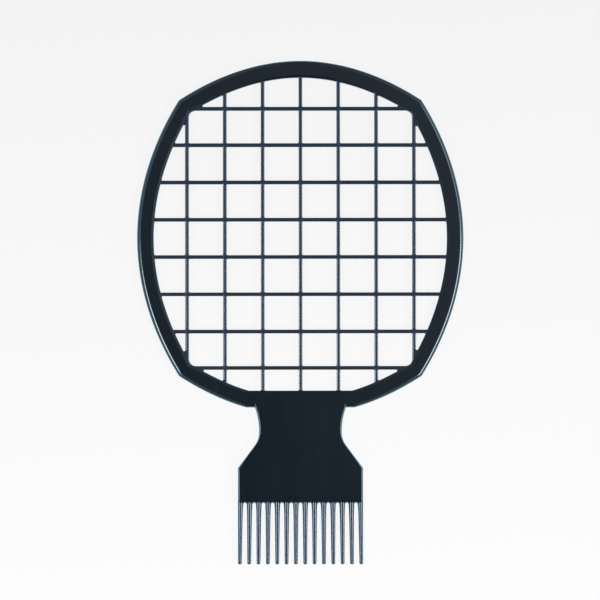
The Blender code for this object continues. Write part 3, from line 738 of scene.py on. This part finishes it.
# Surroundings: the camera sees an even pale space. The comb is lit by a room that is bright at its two sides
# and dark in a strip overhead, with a ceiling a little lighter to one side.
PALE = 0.93
ROOM_STOPS = (0.0, 0.15, 0.35, 0.47, 0.53, 0.65, 0.85, 1.0)  # from -X to +X
ROOM_LEVELS = (0.85, 0.85, 0.36, 0.04, 0.04, 0.36, 1.0, 1.0)
ROOM_TINT = (0.67, 0.96, 1.36)
ROOM_WAY, ROOM_SHARES = (0.05, 0.40), (0.25, 1.0)  # the sides are weaker near the horizon
CEILING_DIRECTION = (0.75, 0.66, 0.0)  # the ceiling is lighter this way
CEILING_WAY, CEILING_LIFTS = (-0.06, 0.09), (0.0, 0.13)


def pale_room():
    """A world that lights the comb as a graded room, and that the camera sees as an even pale space."""
    world = bpy.data.worlds.new("pale_studio")
    world.use_nodes = True
    tree = world.node_tree
    tree.nodes.clear()
    way = tree.nodes.new("ShaderNodeTexCoord").outputs["Generated"]
    axes = axes_of(tree, way)
    levels = tree.nodes.new("ShaderNodeValToRGB")
    tree.links.new(between(tree, axes["X"], (-1.0, 1.0), (0.0, 1.0)), levels.inputs["Fac"])
    stops = levels.color_ramp.elements
    stops[0].position, stops[1].position = ROOM_STOPS[0], ROOM_STOPS[-1]
    for stop in ROOM_STOPS[1:-1]:
        stops.new(stop)
    for stop, level in zip(stops, ROOM_LEVELS):
        stop.color = (*[level * tint for tint in ROOM_TINT], 1.0)
    height_share = between(tree, axes["Z"], ROOM_WAY, ROOM_SHARES)
    sides = mixed(tree, "MULTIPLY", 1.0, levels.outputs["Color"], height_share)

    slope = tree.nodes.new("ShaderNodeVectorMath")
    slope.operation = "DOT_PRODUCT"
    slope.inputs[1].default_value = CEILING_DIRECTION
    tree.links.new(way, slope.inputs[0])
    ceiling = between(tree, slope.outputs["Value"], CEILING_WAY, CEILING_LIFTS)
    room = tree.nodes.new("ShaderNodeBackground")
    tree.links.new(mixed(tree, "ADD", 1.0, sides, ceiling), room.inputs["Color"])
    pale = tree.nodes.new("ShaderNodeBackground")
    pale.inputs["Color"].default_value = (PALE, PALE, PALE, 1.0)
    to_camera = tree.nodes.new("ShaderNodeLightPath").outputs["Is Camera Ray"]
    shown(tree, to_camera, room.outputs["Background"], pale.outputs["Background"], "ShaderNodeOutputWorld")
    return world


bpy.context.scene.world = pale_room()

# Lamps: two soft boxes at the comb's sides, both towards the teeth's end, and a weak one on the right
# towards the far end. The left one leans down towards the teeth, the right one is longer and lower, and they
# draw the thin lights along the rounded edges.
LAMP_DISTANCE = 1.1
LAMP_TINT = (0.86, 0.98, 1.09)
AIM = np.array([0.0, 0.020, 0.002])


def soft_box(name, off_vertical, bearing, spin, width, length, radiance):
    """A rectangular lamp that faces the comb, at angles off the vertical and round from +X, in degrees.

    It is spun about its own axis. Its power is pi times its area times the radiance that it shows.
    """
    tilt, heading, spin = np.radians([off_vertical, bearing, spin])
    away = np.array([np.sin(tilt) * np.cos(heading), np.sin(tilt) * np.sin(heading), np.cos(tilt)])
    light = bpy.data.lights.new(name, "AREA")
    light.shape = "RECTANGLE"
    light.size, light.size_y = width, length
    light.energy = np.pi * width * length * radiance
    light.color = LAMP_TINT
    lamp = bpy.data.objects.new(name, light)
    lamp.location = AIM + LAMP_DISTANCE * away
    turned = Matrix.Rotation(heading, 3, "Z") @ Matrix.Rotation(tilt, 3, "Y") @ Matrix.Rotation(spin, 3, "Z")
    lamp.rotation_euler = turned.to_euler()
    bpy.context.scene.collection.objects.link(lamp)


soft_box("left_soft_box", off_vertical=39.6, bearing=203.5, spin=-51.0,
         width=0.30, length=0.61, radiance=10.0)
soft_box("right_soft_box", off_vertical=50.0, bearing=-23.0, spin=0.0,
         width=0.33, length=0.86, radiance=11.0)
soft_box("far_soft_box", off_vertical=48.0, bearing=20.0, spin=0.0,
         width=0.30, length=0.50, radiance=2.5)

# Camera: straight above the comb, far enough for an almost flat view.
CAMERA_X, CAMERA_Y = -0.00014, 0.00562
CAMERA_HEIGHT = 1.0
CAMERA_TURN = -0.0010  # the comb lies a hair askew in the picture
NEAREST = 0.01
VIEW_WIDTH = 0.2686  # of the picture, at half the comb's thickness
SENSOR = 36.0
camera_data = bpy.data.cameras.new("camera")
camera_data.sensor_width = SENSOR
camera_data.lens = SENSOR * CAMERA_HEIGHT / VIEW_WIDTH
camera_data.clip_start = NEAREST
camera = bpy.data.objects.new("camera", camera_data)
camera.location = (CAMERA_X, CAMERA_Y, MIDDLE_Z + CAMERA_HEIGHT)
camera.rotation_euler = (0.0, 0.0, CAMERA_TURN)
bpy.context.scene.collection.objects.link(camera)
bpy.context.scene.camera = camera
bpy.context.scene.view_settings.view_transform = "Standard"
